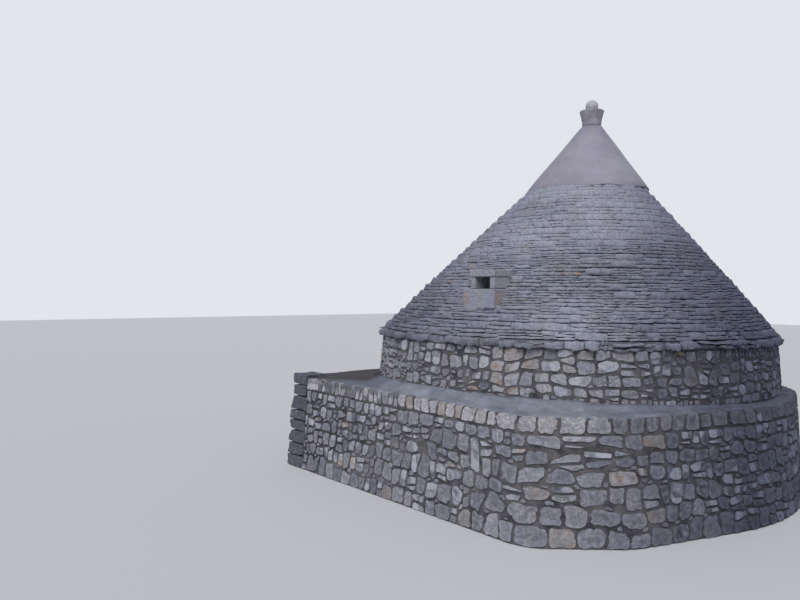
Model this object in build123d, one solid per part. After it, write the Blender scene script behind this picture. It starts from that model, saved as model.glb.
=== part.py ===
from build123d import *
import math
import os

# A round dry-stone house with a cone roof, in millimetres, +Z up.
# The origin lies on the lowest ground, under the centre of the round room.
# The small window faces -Y, and the doorway faces -X.

# Round drum wall, and the room inside it
ROOM_RADIUS = 1950.0
WALL_THICKNESS = 1020.0
DRUM_BATTER = 50.0
EAVE_HEIGHT = 2100.0

# Battered base wall, which ends in a ledge
LEDGE_HEIGHT = 1420.0
LEDGE_WIDTH = 180.0
BASE_BATTER = 100.0
FRONT_PROUD = 70.0
LEFT_INSET = 300.0
SHOULDER_X = 1760.0
SHOULDER_REACH = 315.0
SHOULDER_BEARING = -43.8
SHOULDER_ROUND = 500.0
ROUND_MIDDLE = 80.0
CORNER_ROUND = 40.0

# Coping stones on edge along the ledge, and the mortar topping behind them
COPING_HEIGHT = 200.0
COPING_DEPTH = 220.0
BANK_RISE = 120.0
BANK_RUN = 250.0
BANK_SHIFT = 250.0

# Pier of squared stones at the front left corner
PIER_SIDE = 330.0
PIER_PROUD = 25.0
PIER_RISE = 45.0

# Cone of flat slabs, laid in stepped courses
COURSE_COUNT = 23
CONE_HEIGHT = 2240.0
EAVE_OVERHANG = 110.0
EAVE_STEP = 110.0
CAP_STEP = 45.0
CONE_BULGE = 20.0
SLAB_WIDTH = 400.0
SLAB_LEAN = 55.0
CONE_LEAN_X = 171.0
CONE_LEAN_Y = 196.0

# Corbelled vault under the cone, closed by one flat slab
VAULT_RINGS = 11
VAULT_STEP = 50.0
VAULT_TOP_RADIUS = 400.0
VAULT_THICKNESS = 300.0
VAULT_SIDES = 24
CLOSING_SLAB_SEAT = 160.0

# Plastered cap and its pinnacle
CAP_RISE = 1030.0
CAP_FOOT_RADIUS = 940.0
CAP_TOP_RADIUS = 160.0
CAP_LEAN_X = 49.0
CAP_LEAN_Y = 56.0
PINNACLE_NECK_RADIUS = 140.0
PINNACLE_NECK_HEIGHT = 30.0
PINNACLE_WAIST_RADIUS = 146.0
PINNACLE_TOP_RADIUS = 190.0
PINNACLE_HOLLOW = 14.0
PINNACLE_DRUM_HEIGHT = 250.0
PINNACLE_EDGE = 8.0
BALL_RADIUS = 97.0
BALL_SEAT = 24.0

# Small window in the cone, framed by four squared stones
WINDOW_X = 392.0
WINDOW_WIDTH = 250.0
WINDOW_RISE = 700.0
WINDOW_HEIGHT = 156.0
WINDOW_PROUD = 88.0
WINDOW_DEPTH = 320.0
WINDOW_JAMB = 80.0
WINDOW_LINTEL_HEIGHT = 90.0
WINDOW_LINTEL_END = 10.0
WINDOW_LINTEL_PROUD = 15.0
WINDOW_BLOCK_WIDTH = 540.0
WINDOW_BLOCK_HEIGHT = 255.0
WINDOW_BLOCK_PROUD = 80.0
WINDOW_BAY_RISE = 350.0

# Plain doorway through the whole wall
DOOR_WIDTH = 850.0
WALL_OVER_LINTEL = 170.0
DOOR_JAMB_WIDTH = 210.0
DOOR_JAMB_DEPTH = 300.0
DOOR_LINTEL_HEIGHT = 190.0
DOOR_LINTEL_END = 60.0
DOOR_STONES_PROUD = 15.0

# Open joint left between curved faces that meet
JOINT = 0.3

# Where the round walls and the cone divide, as bearings in degrees
WALL_SEAMS = {
    "front_left": (-140.0, -80.0),
    "front_right": (-80.0, -20.0),
    "right": (-20.0, 40.0),
    "back_right": (40.0, 90.0),
    "back_left": (90.0, 140.0),
    "door_left": (140.0, 180.0),
    "door_right": (180.0, 220.0),
}
ROOF_SEAMS = {
    "front_left": (-140.0, -20.0),
    "front_right": (-140.0, -20.0),
    "right": (-20.0, 40.0),
    "back_right": (40.0, 100.0),
    "back_left": (100.0, 160.0),
    "left": (160.0, 220.0),
}
COPING_SEAMS = {
    "front": (-137.0, -20.0),
    "right": (-20.0, 80.0),
    "back": (80.0, 180.0),
    "door_side": (180.0, 223.0),
}

# Worked out from the sizes above
DRUM_FOOT_RADIUS = ROOM_RADIUS + WALL_THICKNESS
DRUM_TOP_RADIUS = DRUM_FOOT_RADIUS - DRUM_BATTER
BASE_RADIUS = DRUM_FOOT_RADIUS + LEDGE_WIDTH
FRONT_FACE = BASE_RADIUS + FRONT_PROUD
LEFT_FACE = BASE_RADIUS - LEFT_INSET
LEFT_MEET_Y = -math.sqrt(BASE_RADIUS ** 2 - LEFT_FACE ** 2)
REACH = 3.0 * BASE_RADIUS
COPING_FOOT = LEDGE_HEIGHT - COPING_HEIGHT
BANK_TOP = LEDGE_HEIGHT + BANK_RISE
DOOR_HEIGHT = EAVE_HEIGHT - WALL_OVER_LINTEL - DOOR_LINTEL_HEIGHT
CAP_FOOT = EAVE_HEIGHT + CONE_HEIGHT
COURSE_HEIGHT = CONE_HEIGHT / COURSE_COUNT
EAVE_RADIUS = DRUM_TOP_RADIUS + EAVE_OVERHANG
FIRST_COURSE_RADIUS = EAVE_RADIUS - EAVE_STEP
LAST_COURSE_RADIUS = CAP_FOOT_RADIUS + CAP_STEP
VAULT_FOOT_RADIUS = ROOM_RADIUS - VAULT_STEP
VAULT_RING_HEIGHT = (CONE_HEIGHT - COURSE_HEIGHT) / VAULT_RINGS
CLOSING_SLAB_RADIUS = VAULT_TOP_RADIUS + CLOSING_SLAB_SEAT
WINDOW_SILL = EAVE_HEIGHT + WINDOW_RISE
WINDOW_HEAD = WINDOW_SILL + WINDOW_HEIGHT
LINTEL_HEAD = WINDOW_HEAD + WINDOW_LINTEL_HEIGHT
PINNACLE_FOOT = CAP_FOOT + CAP_RISE
PINNACLE_CENTRE = (CONE_LEAN_X + CAP_LEAN_X, CONE_LEAN_Y + CAP_LEAN_Y)
TOP = 2.0 * PINNACLE_FOOT


def block(x0, x1, y0, y1, z0, z1):
    """A squared stone between two corners."""
    centre = ((x0 + x1) / 2, (y0 + y1) / 2, (z0 + z1) / 2)
    return Pos(*centre) * Box(abs(x1 - x0), abs(y1 - y0), abs(z1 - z0))


def wedge(start, end):
    """A tall slice of space about the axis, between two bearings."""
    points = [(0.0, 0.0)]
    for bearing in (start, (start + end) / 2, end):
        angle = math.radians(bearing)
        points.append((REACH * math.cos(angle), REACH * math.sin(angle)))
    return extrude(make_face(Polyline(*points, close=True)), amount=TOP)


def lean_at(height):
    """Centre of the cone at a height, since the old cone leans a little."""
    share = (height - EAVE_HEIGHT) / CONE_HEIGHT
    return CONE_LEAN_X * share, CONE_LEAN_Y * share


def ring_prism(radius, sides, turn, foot, height, lean=0.0):
    """A ring of straight-fronted stones, filled, whose fronts may lean back over their height."""
    x, y = lean_at(foot)
    taper = math.degrees(math.atan(lean / height))
    plan = RegularPolygon(radius, sides, rotation=turn)
    return Pos(x, y, foot) * extrude(plan, amount=height, taper=taper)


def on_circle(radius, bearing):
    """A point of the plan, by its distance from the axis and its bearing in degrees."""
    angle = math.radians(bearing)
    return radius * math.cos(angle), radius * math.sin(angle)


def shoulder_end():
    """Where the shoulder runs smoothly into the round side."""
    swing = math.degrees(math.acos(BASE_RADIUS / (BASE_RADIUS + SHOULDER_REACH)))
    return on_circle(BASE_RADIUS, SHOULDER_BEARING + swing)


def base_outline():
    """Plan of the base at the ledge: round, with a squared front and a corner at the left."""
    left_meet = (-LEFT_FACE, LEFT_MEET_Y)
    front_end = (SHOULDER_X, -FRONT_FACE)
    turn = on_circle(BASE_RADIUS + SHOULDER_REACH, SHOULDER_BEARING)
    tangent = shoulder_end()
    shoulder = Polyline(left_meet, (-LEFT_FACE, -FRONT_FACE), front_end, turn, tangent)
    round_side = ThreePointArc(tangent, on_circle(BASE_RADIUS, ROUND_MIDDLE), left_meet)
    outline = make_face(shoulder + round_side)
    rounded = [outline.vertices().sort_by_distance((*corner, 0.0))[0] for corner in (front_end, turn)]
    return fillet(rounded, SHOULDER_ROUND)


def doorway():
    """The clear passage of the doorway, from the room to the open air."""
    return block(-REACH, 0.0, -DOOR_WIDTH / 2, DOOR_WIDTH / 2, 0.0, DOOR_HEIGHT)


def door_stones():
    """Two upright jambs and a lintel, at the outer face of the drum wall."""
    outer = -DRUM_FOOT_RADIUS - DOOR_STONES_PROUD
    inner = outer + DOOR_JAMB_DEPTH
    half = DOOR_WIDTH / 2
    far = half + DOOR_JAMB_WIDTH
    reach = far + DOOR_LINTEL_END
    return {
        "door_jamb_left": block(outer, inner, half, far, 0.0, DOOR_HEIGHT),
        "door_jamb_right": block(outer, inner, -far, -half, 0.0, DOOR_HEIGHT),
        "door_lintel": block(outer, inner, -reach, reach, DOOR_HEIGHT, DOOR_HEIGHT + DOOR_LINTEL_HEIGHT),
    }


def corner_pier():
    """Squared stones stacked at the front left corner, battered on their two open faces."""
    inner_x = -LEFT_FACE - PIER_PROUD + PIER_SIDE
    inner_y = -FRONT_FACE - PIER_PROUD + PIER_SIDE
    sections = []
    for side, height in ((PIER_SIDE + BASE_BATTER, 0.0), (PIER_SIDE, LEDGE_HEIGHT + PIER_RISE)):
        place = Pos(inner_x - side / 2, inner_y - side / 2, height)
        sections.append(place * RectangleRounded(side, side, CORNER_ROUND))
    return loft(sections)


def battered_base(pier):
    """The base from the ground to the bank's top, with the room and the pier taken out."""
    taper = math.degrees(math.atan(BASE_BATTER / LEDGE_HEIGHT))
    base = extrude(offset(base_outline(), BASE_BATTER), amount=BANK_TOP, taper=taper)
    room = extrude(Circle(ROOM_RADIUS), amount=TOP)
    return base - room - pier


def drum_wall():
    """The round wall above the base, upright at its foot and battered above the ledge."""
    with BuildPart() as drum:
        with BuildSketch(Plane.XZ):
            with BuildLine():
                Polyline(
                    (ROOM_RADIUS, COPING_FOOT),
                    (DRUM_FOOT_RADIUS, COPING_FOOT),
                    (DRUM_FOOT_RADIUS, BANK_TOP),
                    (DRUM_TOP_RADIUS, EAVE_HEIGHT),
                    (ROOM_RADIUS, EAVE_HEIGHT),
                    close=True,
                )
            make_face()
        revolve(axis=Axis.Z)
    return drum.part


def ledge_crown():
    """Space under the ledge's surface, which banks up to the drum wall along the front."""
    inner = DRUM_FOOT_RADIUS - BANK_SHIFT
    with BuildPart() as crown:
        with BuildSketch(Plane.XZ):
            with BuildLine():
                Polyline(
                    (0.0, 0.0),
                    (REACH, 0.0),
                    (REACH, LEDGE_HEIGHT),
                    (inner + BANK_RUN, LEDGE_HEIGHT),
                    (inner, BANK_TOP),
                    (0.0, BANK_TOP),
                    close=True,
                )
            make_face()
        revolve(axis=Axis.Z)
    return Pos(0.0, -BANK_SHIFT, 0.0) * crown.part


def ledge_parts(base, pier):
    """Coping along the rim, and two patches of topping that fill the ledge behind it."""
    straight_end = min(LEFT_MEET_Y, shoulder_end()[1])
    above = block(-REACH, REACH, -REACH, REACH, COPING_FOOT, TOP)
    drum_space = extrude(Circle(DRUM_FOOT_RADIUS + JOINT), amount=TOP)
    front = block(-REACH, REACH, -REACH, straight_end, 0.0, TOP)
    behind = extrude(offset(base_outline(), -COPING_DEPTH), amount=TOP) & front
    crown = ledge_crown()
    coping = (base & above & crown) - drum_space - behind
    patch = extrude(offset(base_outline(), -COPING_DEPTH - JOINT), amount=TOP)
    topping = (crown & patch & above & front) - drum_space - pier
    left = topping & block(-REACH, 0.0, -REACH, 0.0, 0.0, TOP)
    right = topping & block(0.0, REACH, -REACH, 0.0, 0.0, TOP)
    return coping, left, right


def course_radius(number):
    """Outer radius of a slab course, counted from the eave, with a slight swell."""
    if number == 0:
        return EAVE_RADIUS
    share = (number - 1) / (COURSE_COUNT - 2)
    straight = FIRST_COURSE_RADIUS + (LAST_COURSE_RADIUS - FIRST_COURSE_RADIUS) * share
    return straight + 4 * CONE_BULGE * share * (1 - share)


def slab_courses():
    """The stepped cone as one filled stack, each course turned by half a slab."""
    courses = []
    for number in range(COURSE_COUNT):
        radius = course_radius(number)
        sides = round(2 * math.pi * radius / SLAB_WIDTH)
        turn = 180.0 / sides * (number % 2)
        foot = EAVE_HEIGHT + number * COURSE_HEIGHT
        lean = SLAB_LEAN if number else 0.0
        courses.append(ring_prism(radius, sides, turn, foot, COURSE_HEIGHT, lean))
    return Part() + courses


def vault_rings(extra):
    """The corbelled rings as one filled stack, made wider by the extra radius."""
    rings = []
    for number in range(VAULT_RINGS):
        share = number / (VAULT_RINGS - 1)
        radius = VAULT_FOOT_RADIUS + (VAULT_TOP_RADIUS - VAULT_FOOT_RADIUS) * share + extra
        foot = EAVE_HEIGHT + number * VAULT_RING_HEIGHT
        rings.append(ring_prism(radius, VAULT_SIDES, 0.0, foot, VAULT_RING_HEIGHT))
    return Part() + rings


def closing_slab():
    """The flat stone that closes the top of the vault."""
    foot = CAP_FOOT - COURSE_HEIGHT
    return ring_prism(CLOSING_SLAB_RADIUS, VAULT_SIDES, 0.0, foot, COURSE_HEIGHT)


def window_stones():
    """Block below the window, two jambs and a lintel slab, and the room left before the block."""
    left = WINDOW_X - WINDOW_WIDTH / 2
    right = WINDOW_X + WINDOW_WIDTH / 2
    front = -course_radius(WINDOW_RISE / COURSE_HEIGHT) - WINDOW_PROUD
    back = front + WINDOW_DEPTH
    reach = WINDOW_WIDTH / 2 + WINDOW_JAMB + WINDOW_LINTEL_END
    ends = (WINDOW_X - reach, WINDOW_X + reach)
    sides = (WINDOW_X - WINDOW_BLOCK_WIDTH / 2, WINDOW_X + WINDOW_BLOCK_WIDTH / 2)
    block_front = front - WINDOW_BLOCK_PROUD
    foot = WINDOW_SILL - WINDOW_BLOCK_HEIGHT
    stones = {
        "window_block": block(*sides, block_front, back, foot, WINDOW_SILL),
        "window_jamb_left": block(left - WINDOW_JAMB, left, front, back, WINDOW_SILL, WINDOW_HEAD),
        "window_jamb_right": block(right, right + WINDOW_JAMB, front, back, WINDOW_SILL, WINDOW_HEAD),
        "window_lintel": block(*ends, front - WINDOW_LINTEL_PROUD, back, WINDOW_HEAD, LINTEL_HEAD),
    }
    return stones, block(*sides, -REACH, block_front, foot, WINDOW_SILL)


def window_bay():
    """The narrow slice of the roof that holds the window, and the window's clear passage."""
    left = WINDOW_X - WINDOW_WIDTH / 2
    right = WINDOW_X + WINDOW_WIDTH / 2
    head = WINDOW_HEAD + WINDOW_BAY_RISE
    bay = block(left, right, -REACH, 0.0, EAVE_HEIGHT, head)
    passage = block(left, right, -REACH, 0.0, WINDOW_SILL, WINDOW_HEAD)
    return bay, passage


def cap_cone():
    """The smooth plastered cap, a cone on edge of plumb, cut level at its foot and its head."""
    foot = Vector(CONE_LEAN_X, CONE_LEAN_Y, CAP_FOOT)
    head = Vector(*PINNACLE_CENTRE, PINNACLE_FOOT)
    apex = foot + (head - foot) * (CAP_FOOT_RADIUS / (CAP_FOOT_RADIUS - CAP_TOP_RADIUS))
    drop = apex.Z - foot.Z
    shift = math.hypot(apex.X - foot.X, apex.Y - foot.Y)
    wide = math.atan((CAP_FOOT_RADIUS + shift) / drop)
    narrow = math.atan((CAP_FOOT_RADIUS - shift) / drop)
    tilt = (wide - narrow) / 2
    sideways = Vector(apex.X - foot.X, apex.Y - foot.Y, 0.0) * (math.sin(tilt) / shift)
    place = Plane(origin=apex, z_dir=sideways + Vector(0.0, 0.0, math.cos(tilt)))
    length = 2 * drop
    cone = place * Pos(0.0, 0.0, -length / 2) * Cone(length * math.tan((wide + narrow) / 2), 0.0, length)
    return cone & block(-REACH, REACH, -REACH, REACH, CAP_FOOT, PINNACLE_FOOT)


def pinnacle_drum():
    """The carved drum: a short neck, and hollowed sides that flare to the top."""
    top = PINNACLE_DRUM_HEIGHT
    waist = (PINNACLE_WAIST_RADIUS, PINNACLE_NECK_HEIGHT)
    rim = (PINNACLE_TOP_RADIUS, top)
    hollow = ((waist[0] + rim[0]) / 2 - PINNACLE_HOLLOW, (waist[1] + rim[1]) / 2)
    with BuildPart() as drum:
        with BuildSketch(Plane.XZ):
            with BuildLine():
                Polyline(waist, (PINNACLE_NECK_RADIUS, 0.0), (0.0, 0.0), (0.0, top), rim)
                ThreePointArc(waist, hollow, rim)
            make_face()
        revolve(axis=Axis.Z)
        chamfer(drum.edges().group_by(Axis.Z)[-1], PINNACLE_EDGE)
    return Pos(*PINNACLE_CENTRE, PINNACLE_FOOT) * drum.part


def pinnacle_ball():
    """The ball on top, with a flat seat on the drum."""
    seat = PINNACLE_FOOT + PINNACLE_DRUM_HEIGHT
    ball = Pos(*PINNACLE_CENTRE, seat + BALL_RADIUS - BALL_SEAT) * Sphere(BALL_RADIUS)
    return ball - block(-REACH, REACH, -REACH, REACH, 0.0, seat)


def divide(body, seams, prefix):
    """Cut a round body into named sectors."""
    return {prefix + side: body & wedge(*bearings) for side, bearings in seams.items()}


def wall_nodes():
    """Base, drum wall, coping and topping, all parted at the doorway."""
    stones = door_stones()
    pier = corner_pier()
    below = block(-REACH, REACH, -REACH, REACH, 0.0, COPING_FOOT)
    base = battered_base(pier)
    coping, topping_left, topping_right = ledge_parts(base, pier)
    gap = doorway()
    cuts = [gap, *stones.values()]
    over_door = block(-REACH, 0.0, -DOOR_WIDTH / 2, DOOR_WIDTH / 2, DOOR_HEIGHT, EAVE_HEIGHT)
    drum = drum_wall()
    nodes = divide((base & below) - cuts, WALL_SEAMS, "base_wall_")
    nodes.update(divide(drum - cuts - over_door, WALL_SEAMS, "drum_wall_"))
    nodes["drum_wall_over_door"] = (drum & over_door) - stones["door_lintel"]
    nodes.update(divide(coping - cuts, COPING_SEAMS, "coping_"))
    nodes["ledge_topping_left"] = topping_left
    nodes["ledge_topping_right"] = topping_right
    nodes["corner_pier"] = pier
    nodes.update(stones)
    return nodes


def roof_nodes():
    """Vault and cone in sectors, with the window bay between the two front ones."""
    stones, clear = window_stones()
    bay, passage = window_bay()
    void = vault_rings(0.0)
    vault_space = vault_rings(VAULT_THICKNESS)
    slab = closing_slab()
    cone = slab_courses() - slab
    beside = {
        "front_left": block(WINDOW_X, REACH, -REACH, REACH, 0.0, TOP),
        "front_right": block(-REACH, WINDOW_X, -REACH, REACH, 0.0, TOP),
    }
    cuts = [bay, clear, *stones.values()]
    nodes = {"vault_closing_slab": slab}
    layers = {"vault_": vault_space - void, "roof_": cone - vault_space}
    for prefix, layer in layers.items():
        for side, bearings in ROOF_SEAMS.items():
            sector = layer & wedge(*bearings)
            if side in beside:
                sector = sector - beside[side] - cuts
            nodes[prefix + side] = sector
    bay_stone = (cone & bay) - void - passage - clear - list(stones.values())
    below = block(-REACH, REACH, -REACH, REACH, 0.0, WINDOW_SILL)
    nodes["roof_below_window"] = bay_stone & below
    nodes["roof_above_window"] = bay_stone - below
    nodes.update(stones)
    return nodes


def top_nodes():
    """Plastered cap and pinnacle."""
    return {
        "cap_cone": cap_cone(),
        "pinnacle_drum": pinnacle_drum(),
        "pinnacle_ball": pinnacle_ball(),
    }


def main():
    """Write every piece to its own file."""
    os.makedirs("parts", exist_ok=True)
    nodes = {**wall_nodes(), **roof_nodes(), **top_nodes()}
    for name, shape in nodes.items():
        export_step(shape, f"parts/{name}.step")
        print(name, len(shape.solids()), round(shape.volume / 1e9, 4))


main()
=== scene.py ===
import math
import random

import bmesh
import bpy
import numpy as np
from mathutils import Matrix, Vector, noise
from mathutils.bvhtree import BVHTree


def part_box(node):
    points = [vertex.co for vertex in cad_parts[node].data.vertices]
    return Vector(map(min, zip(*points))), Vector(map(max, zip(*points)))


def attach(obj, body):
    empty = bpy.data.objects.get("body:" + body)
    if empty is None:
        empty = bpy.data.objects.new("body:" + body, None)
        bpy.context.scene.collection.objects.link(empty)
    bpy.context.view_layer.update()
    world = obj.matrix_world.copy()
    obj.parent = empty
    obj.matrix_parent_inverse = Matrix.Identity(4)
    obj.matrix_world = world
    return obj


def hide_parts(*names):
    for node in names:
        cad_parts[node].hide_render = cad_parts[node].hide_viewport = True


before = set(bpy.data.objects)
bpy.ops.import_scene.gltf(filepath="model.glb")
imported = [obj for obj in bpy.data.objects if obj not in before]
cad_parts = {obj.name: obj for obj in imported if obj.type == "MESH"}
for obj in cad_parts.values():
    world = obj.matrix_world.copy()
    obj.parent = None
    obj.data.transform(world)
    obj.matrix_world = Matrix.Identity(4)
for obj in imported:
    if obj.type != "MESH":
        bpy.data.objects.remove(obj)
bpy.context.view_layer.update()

# The view of the house: from the right front, almost level, at 2.75 m over the lowest ground,
# with the lens of a phone.
EYE = Vector((6.465, -9.170, 2.75))
HEADING = math.radians(48.9)
PITCH = math.radians(-0.68)
ROLL = math.radians(0.5)

lens = bpy.data.cameras.new("view_lens")
lens.sensor_width = 36.0
lens.lens = 31.05
lens.clip_end = 200.0
viewer = bpy.data.objects.new("viewer", lens)
aim = Matrix.Rotation(HEADING, 4, "Z") @ Matrix.Rotation(math.pi / 2 + PITCH, 4, "X")
viewer.matrix_world = Matrix.Translation(EYE) @ aim @ Matrix.Rotation(ROLL, 4, "Z")
bpy.context.scene.collection.objects.link(viewer)
bpy.context.scene.camera = viewer
bpy.context.scene.view_settings.view_transform = "Standard"


# Base wall: a thick battered wall of limestone rubble, laid in rough courses in grey mortar.
# Each stone is broken to fit its neighbours, and the joints stand a little behind their faces.
SHARED_SECTORS = ["front_left", "front_right", "right", "back_right", "back_left"]
WALL_SECTORS = SHARED_SECTORS + ["door_left", "door_right"]
BASE_NODES = ["base_wall_" + sector for sector in WALL_SECTORS]
JOINT_RECESS = 0.024
OUTER_REACH = 2.75
REVEAL_REACH = 0.45
RING_STEPS = 1440
SHORT_SIDE = 0.013
LONG_SIDE = 0.07
CORNER_KNOCK = (0.05, 0.27)
SIDE_BREAK = (-0.08, 0.05)
RIM_WIDTH = 0.012
RIM_SHARE = 0.68
FACE_LEAN = 0.06
STONE_DEPTH = 0.07
END_DEPTH = 0.25
JOINT_TURN = 0.6
SEED_SHIFT = 0.028
MIN_WIDTH = 0.06
DOUBLE_WIDTH = 0.16
SPLIT_HEIGHT = 0.12
SPLIT_SHARE = (0.36, 0.64)
NARROW_SPLIT = 0.65
CHIP_WIDE = (0.016, 0.04)
CHIP_TALL = (0.014, 0.032)
CHIP_JOINT = (0.008, 0.016)
NEIGHBOUR_REACH = 0.6
BASE_SEED = 11

RUBBLE_DARK = (88, 93, 109)
RUBBLE_PALE = (174, 176, 186)
RUBBLE_RIM = (196, 199, 210)
OCHRE = (172, 162, 146)
RUST = (164, 132, 106)
WARM = (152, 140, 134)
LICHEN = (58, 61, 76)
GRIME = (78, 79, 87)
JOINT_DARK = (58, 57, 64)
JOINT_PALE = (112, 109, 112)
LIMEWASH = (150, 149, 146)
# Painted shade over the house's right side and back, and the way across the plan along which it deepens.
RIGHT_SIDE_SHADE = (152, 157, 175)
RIGHT_SIDE_SHADE_WAY = (0.87, 0.5, 0.0)


def paint(colour):
    """A colour of the house as it looks, turned into the linear values that shaders take."""
    linear = []
    for part in colour:
        share = part / 255
        linear.append(share / 12.92 if share <= 0.04045 else ((share + 0.055) / 1.055) ** 2.4)
    return (*linear, 1.0)


def new_finish(name, roughness):
    """An empty rough finish with its shader."""
    finish = bpy.data.materials.new(name)
    finish.use_nodes = True
    shader = finish.node_tree.nodes["Principled BSDF"]
    shader.inputs["Roughness"].default_value = roughness
    return finish, finish.node_tree, shader


def share_between(tree, value, low, high):
    """A share that grows from none to all between two levels of a value."""
    level = tree.nodes.new("ShaderNodeMapRange")
    level.inputs["From Min"].default_value = low
    level.inputs["From Max"].default_value = high
    tree.links.new(value, level.inputs["Value"])
    return level.outputs["Result"]


def speckle(tree, size, detail, low, high, stretch=(1.0, 1.0, 1.0)):
    """Cloudy patches about the given size in metres, sharpened between two levels."""
    nodes = tree.nodes
    place = nodes.new("ShaderNodeTexCoord")
    scale = nodes.new("ShaderNodeMapping")
    scale.inputs["Scale"].default_value = stretch
    cloud = nodes.new("ShaderNodeTexNoise")
    cloud.inputs["Scale"].default_value = 1 / size
    cloud.inputs["Detail"].default_value = detail
    cloud.inputs["Roughness"].default_value = 0.6
    tree.links.new(place.outputs["Object"], scale.inputs["Vector"])
    tree.links.new(scale.outputs["Vector"], cloud.inputs["Vector"])
    return share_between(tree, cloud.outputs["Fac"], low, high)


def worked(tree, operation, first, second):
    """Two values worked into one. The second may be a plain number."""
    step = tree.nodes.new("ShaderNodeMath")
    step.operation = operation
    tree.links.new(first, step.inputs[0])
    if isinstance(second, float):
        step.inputs[1].default_value = second
    else:
        tree.links.new(second, step.inputs[1])
    return step.outputs[0]


def times(tree, first, second):
    """Two shares multiplied."""
    return worked(tree, "MULTIPLY", first, second)


def cover(tree, share, under, over, blend="MIX"):
    """One colour laid over another where the share says so."""
    layer = tree.nodes.new("ShaderNodeMix")
    layer.data_type = "RGBA"
    layer.blend_type = blend
    tree.links.new(share, layer.inputs["Factor"])
    for socket, colour in (("A", under), ("B", over)):
        place = [s for s in layer.inputs if s.name == socket and s.type == "RGBA"][0]
        if isinstance(colour, tuple):
            place.default_value = paint(colour)
        else:
            tree.links.new(colour, place)
    return [s for s in layer.outputs if s.type == "RGBA"][0]


def band(tree, way, start, full, ripple):
    """A share that grows along a way between two distances in metres, with a ragged edge."""
    place = tree.nodes.new("ShaderNodeTexCoord")
    along = tree.nodes.new("ShaderNodeVectorMath")
    along.operation = "DOT_PRODUCT"
    along.inputs[1].default_value = way
    tree.links.new(place.outputs["Object"], along.inputs[0])
    tongues = times(tree, speckle(tree, 0.3 * ripple, 6, 0.0, 1.0), 0.3 * ripple)
    ragged = worked(tree, "ADD", along.outputs["Value"], tongues)
    return share_between(tree, ragged, start + 0.15 * ripple, full + 0.15 * ripple)


def painted_side_shade(tree, body):
    """Grey painted shade that darkens the house's right side and its back, the side turned from the light.
    """
    return cover(tree, band(tree, RIGHT_SIDE_SHADE_WAY, 0.4, 2.3, 1.0), body, RIGHT_SIDE_SHADE, "MULTIPLY")


def complete(tree, shader, body, *grains):
    """Give a finish its colour and its bumps: the size, detail and height of one or more grains."""
    tree.links.new(body, shader.inputs["Base Color"])
    below = None
    for size, detail, height in grains:
        bump = tree.nodes.new("ShaderNodeBump")
        bump.inputs["Distance"].default_value = height
        bump.inputs["Strength"].default_value = 1.0
        tree.links.new(speckle(tree, size, detail, 0.2, 0.8), bump.inputs["Height"])
        if below:
            tree.links.new(below, bump.inputs["Normal"])
        below = bump.outputs["Normal"]
    tree.links.new(below, shader.inputs["Normal"])


def stone_finish(name, dark, pale, rim, grime_share):
    """Weathered limestone: each stone has its own tone, a paler worn rim, rust and grey lichen."""
    finish, tree, shader = new_finish(name, 0.92)
    marks = tree.nodes.new("ShaderNodeAttribute")
    marks.attribute_name = "stone"
    parts = tree.nodes.new("ShaderNodeSeparateColor")
    tree.links.new(marks.outputs["Color"], parts.inputs["Color"])
    tone, worn, rusty = parts.outputs
    body = cover(tree, tone, dark, pale)
    body = cover(tree, times(tree, rusty, 0.75), body, OCHRE)
    body = cover(tree, times(tree, speckle(tree, 0.11, 6, 0.35, 0.7), 0.5), body, pale)
    body = cover(tree, times(tree, speckle(tree, 0.035, 8, 0.42, 0.7), 0.65), body, dark)
    body = cover(tree, times(tree, speckle(tree, 0.3, 6, 0.48, 0.68), 0.45), body, WARM)
    spots = times(tree, marks.outputs["Alpha"], speckle(tree, 0.06, 7, 0.36, 0.56))
    body = cover(tree, spots, body, LICHEN)
    body = cover(tree, times(tree, worn, speckle(tree, 0.045, 6, 0.22, 0.5)), body, rim)
    stain = times(tree, times(tree, rusty, rusty), speckle(tree, 0.1, 5, 0.45, 0.66))
    body = cover(tree, times(tree, stain, 0.8), body, RUST)
    grime = times(tree, speckle(tree, 0.021, 8, 0.5, 0.66), speckle(tree, 0.45, 4, 0.42, 0.6))
    body = cover(tree, times(tree, grime, grime_share), body, GRIME)
    complete(tree, shader, painted_side_shade(tree, body), (0.06, 6, 0.02), (0.012, 8, 0.006))
    return finish


def joint_finish(name, dark, pale):
    """Grey lime mortar or earth fill between stones, grainy and uneven."""
    finish, tree, shader = new_finish(name, 0.95)
    body = cover(tree, speckle(tree, 0.14, 8, 0.35, 0.68), dark, pale)
    complete(tree, shader, painted_side_shade(tree, body), (0.045, 8, 0.014))
    return finish


def limewash_finish():
    """Old whitewash on the inside walls, worn grey."""
    finish, tree, shader = new_finish("limewash", 0.9)
    body = cover(tree, speckle(tree, 0.5, 8, 0.4, 0.7), LIMEWASH, JOINT_PALE)
    complete(tree, shader, body, (0.12, 6, 0.02))
    return finish


SCRATCH = bpy.data.meshes.new("scratch")


def drift(*spot):
    """A level between about -1 and 1 that wanders smoothly from spot to spot."""
    return noise.noise(Vector(spot))


def outward(turn):
    """The level way out from the middle of the room at a turn in radians."""
    return Vector((math.cos(turn), math.sin(turn), 0.0))


def verts_of(parts):
    """The points among the parts that a shaping step made."""
    return [part for part in parts if isinstance(part, bmesh.types.BMVert)]


def put_in(whole, stone):
    """Put a finished stone or solid in with the others."""
    stone.to_mesh(SCRATCH)
    stone.free()
    whole.from_mesh(SCRATCH)


def joined_copy(names):
    """A copy of some of the house's plain solids, each one closed, all in one shape."""
    whole = bmesh.new()
    for name in names:
        solid = bmesh.new()
        solid.from_mesh(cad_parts[name].data)
        bmesh.ops.remove_doubles(solid, verts=solid.verts, dist=0.0004)
        put_in(whole, solid)
    return whole


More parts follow.
